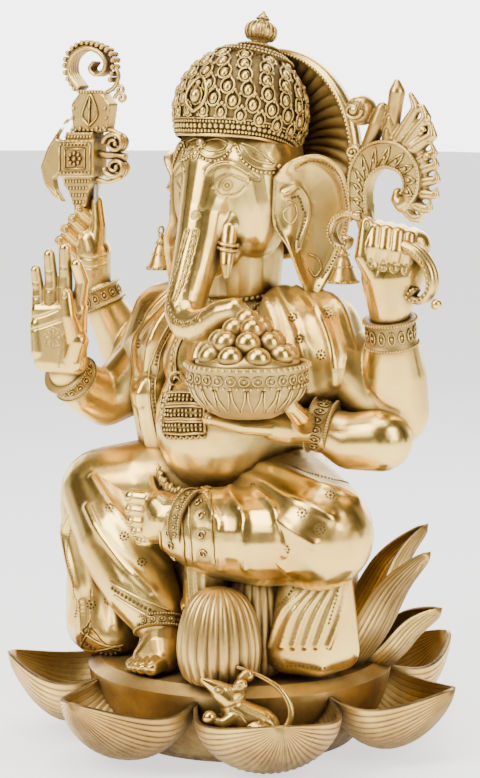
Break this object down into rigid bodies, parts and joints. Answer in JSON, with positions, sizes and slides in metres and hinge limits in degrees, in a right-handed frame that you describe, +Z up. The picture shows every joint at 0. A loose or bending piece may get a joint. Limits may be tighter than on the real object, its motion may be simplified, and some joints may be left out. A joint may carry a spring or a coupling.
{
  "type": "ganesha idol",
  "caption": "Seated four-armed elephant-headed devotional figure in cast brass on a lotus, holding an axe, a noose and a bowl of sweets, one palm raised in blessing.",
  "frame": {"origin": "centre of the lotus base's foot ring, on the plane it rests on", "axes": "+Z up, the figure faces -Y, +X is the figure's own left"},
  "size_m": [0.5124, 0.4487, 0.7377],
  "materials": {
    "polished_brass": "polished brass, dark patina in the recesses",
    "antique_brass": "chased antique brass, patina left in the ornament",
    "petal_brass": "satin antique brass with brown wash",
    "pin_steel": "plain threaded steel"
  },
  "bodies": {
    "root": {"axe": "antique_brass", "axe_crest": "antique_brass", "belly_pendant": "antique_brass", "bowl": "antique_brass", "crown_dome": "antique_brass", "crown_finial": "antique_brass", "crown_ring": "antique_brass", "crown_wheel": "antique_brass", "earrings": "antique_brass", "front_pleats": "polished_brass", "garland": "antique_brass", "head": "polished_brass", "inner_petals": "petal_brass", "joint_pins": "pin_steel", "knee_drape": "polished_brass", "large_bud": "petal_brass", "left_anklet": "antique_brass", "left_ear": "polished_brass", "left_foot": "polished_brass", "left_shin": "polished_brass", "left_tusk": "polished_brass", "lotus_base": "petal_brass", "lower_body": "polished_brass", "lower_left_arm": "polished_brass", "lower_left_bracelet": "antique_brass", "lower_left_hand": "polished_brass", "lower_right_arm": "polished_brass", "lower_right_bracelet": "antique_brass", "lower_right_hand": "polished_brass", "middle_petals": "petal_brass", "mouse": "polished_brass", "necklace": "antique_brass", "noose": "antique_brass", "noose_tail": "antique_brass", "outer_petal_1": "petal_brass", "outer_petal_2": "petal_brass", "outer_petal_3": "petal_brass", "outer_petal_4": "petal_brass", "outer_petal_5": "petal_brass", "outer_petal_6": "petal_brass", "outer_petal_7": "petal_brass", "right_anklet": "antique_brass", "right_ear": "polished_brass", "right_foot": "polished_brass", "right_leg_cloth": "polished_brass", "right_shin": "polished_brass", "right_tusk": "polished_brass", "shawl_left": "polished_brass", "shawl_right": "polished_brass", "small_bud": "petal_brass", "sweets": "antique_brass", "torso": "polished_brass", "trunk": "polished_brass", "upper_left_arm": "polished_brass", "upper_left_bracelet": "antique_brass", "upper_left_hand": "polished_brass", "upper_right_arm": "polished_brass", "upper_right_bracelet": "antique_brass", "upper_right_hand": "polished_brass", "waist_frill": "antique_brass"}
  },
  "joints": []
}
